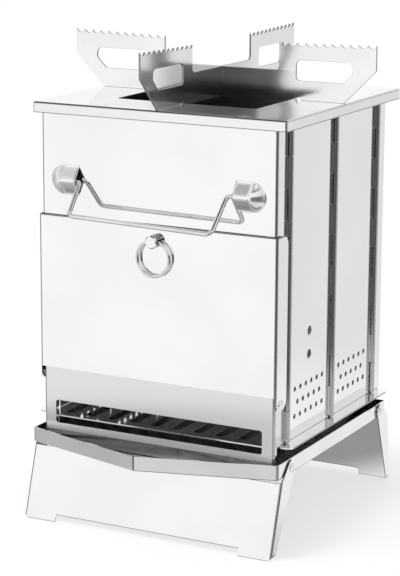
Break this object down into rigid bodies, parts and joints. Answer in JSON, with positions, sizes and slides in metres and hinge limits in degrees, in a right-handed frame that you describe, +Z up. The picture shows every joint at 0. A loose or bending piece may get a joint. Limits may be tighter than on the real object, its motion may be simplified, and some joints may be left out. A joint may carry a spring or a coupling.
{
  "type": "twig stove",
  "caption": "Square folding twig stove of sheet steel on splayed leg plates, with a drop-down fuel door, ash tray, slotted grate and a toothed cross that carries a pot.",
  "frame": {"origin": "on the ground under the middle of the fire box", "axes": "+Z up, the fuel door faces -Y, +X to the right of someone who looks at the door"},
  "size_m": [0.2436, 0.2535, 0.3466],
  "materials": {
    "sheet_steel": "polished",
    "grate_steel": "polished",
    "bar_steel": "satin",
    "wire_steel": "polished",
    "rivet_steel": "polished",
    "pin_steel": "drawn"
  },
  "bodies": {
    "tray": {"ash_tray": "sheet_steel", "leg_rivets": "rivet_steel"},
    "front_leg": {"front_leg": "sheet_steel"},
    "rear_leg": {"rear_leg": "sheet_steel"},
    "grate": {"grate": "grate_steel"},
    "rear_wall": {"rear_panel": "sheet_steel", "right_rear_pin": "pin_steel", "left_rear_pin": "pin_steel"},
    "right_rear_leaf": {"right_rear_leaf": "sheet_steel"},
    "right_front_leaf": {"right_front_leaf": "sheet_steel", "right_middle_pin": "pin_steel"},
    "left_rear_leaf": {"left_rear_leaf": "sheet_steel"},
    "left_front_leaf": {"left_front_leaf": "sheet_steel", "left_middle_pin": "pin_steel"},
    "front_wall": {"front_panel": "sheet_steel", "right_front_pin": "pin_steel", "left_front_pin": "pin_steel", "door_rivets": "rivet_steel"},
    "door": {"fuel_door": "sheet_steel", "ring_stud": "rivet_steel"},
    "ring": {"pull_ring": "wire_steel"},
    "bail": {"bail": "wire_steel"},
    "cover": {"cover_plate": "sheet_steel"},
    "lower_bar": {"lower_pot_bar": "bar_steel"},
    "upper_bar": {"upper_pot_bar": "bar_steel"}
  },
  "joints": [
    {"name": "front_leg_fold", "type": "hinge", "parent": "tray", "child": "front_leg", "pos_m": [0, -0.0795, 0.0595], "axis": [1, 0, 0], "range_deg": [0, 107]},
    {"name": "rear_leg_fold", "type": "hinge", "parent": "tray", "child": "rear_leg", "pos_m": [0, 0.0795, 0.0595], "axis": [-1, 0, 0], "range_deg": [0, 96]},
    {"name": "grate_lift", "type": "slide", "parent": "tray", "child": "grate", "axis": [0, 0, 1], "range_m": [0, 0.08]},
    {"name": "box_lift", "type": "slide", "parent": "grate", "child": "rear_wall", "axis": [0, 0, 1], "range_m": [0, 0.1822]},
    {"name": "right_rear_fold", "type": "hinge", "parent": "rear_wall", "child": "right_rear_leaf", "pos_m": [0.0942, 0.075, 0.075], "axis": [0, 0, -1], "range_deg": [0, 88]},
    {"name": "right_middle_fold", "type": "hinge", "parent": "right_rear_leaf", "child": "right_front_leaf", "pos_m": [0.0942, 0, 0.075], "axis": [0, 0, 1], "range_deg": [0, 176]},
    {"name": "right_front_fold", "type": "hinge", "parent": "right_front_leaf", "child": "front_wall", "pos_m": [0.0942, -0.075, 0.075], "axis": [0, 0, -1], "range_deg": [0, 88]},
    {"name": "left_rear_fold", "type": "hinge", "parent": "rear_wall", "child": "left_rear_leaf", "pos_m": [-0.0942, 0.075, 0.075], "axis": [0, 0, 1], "range_deg": [0, 88]},
    {"name": "left_middle_fold", "type": "hinge", "parent": "left_rear_leaf", "child": "left_front_leaf", "pos_m": [-0.0942, 0, 0.075], "axis": [0, 0, -1], "range_deg": [0, 176]},
    {"name": "door_swing", "type": "hinge", "parent": "front_wall", "child": "door", "pos_m": [0, -0.0875, 0.1058], "axis": [1, 0, 0], "range_deg": [0, 90]},
    {"name": "ring_swing", "type": "hinge", "parent": "door", "child": "ring", "pos_m": [0, -0.0979, 0.2135], "axis": [-1, 0, 0], "range_deg": [-3, 105]},
    {"name": "bail_swing", "type": "hinge", "parent": "front_wall", "child": "bail", "pos_m": [0, -0.09666, 0.2506], "axis": [-1, 0, 0], "range_deg": [-37, 130]},
    {"name": "cover_lift", "type": "slide", "parent": "rear_wall", "child": "cover", "axis": [0, 0, 1], "range_m": [0, 0.06]},
    {"name": "lower_bar_lift", "type": "slide", "parent": "cover", "child": "lower_bar", "axis": [0, 0, 1], "range_m": [0, 0.06]},
    {"name": "upper_bar_lift", "type": "slide", "parent": "lower_bar", "child": "upper_bar", "axis": [0, 0, 1], "range_m": [0, 0.06]}
  ],
  "couplings": [
    {"joint": "right_rear_fold", "follows": "box_lift", "rad_per_m": 8.3333},
    {"joint": "right_middle_fold", "follows": "box_lift", "rad_per_m": 16.667},
    {"joint": "right_front_fold", "follows": "box_lift", "rad_per_m": 8.3333},
    {"joint": "left_rear_fold", "follows": "box_lift", "rad_per_m": 8.3333},
    {"joint": "left_middle_fold", "follows": "box_lift", "rad_per_m": 16.667}
  ]
}
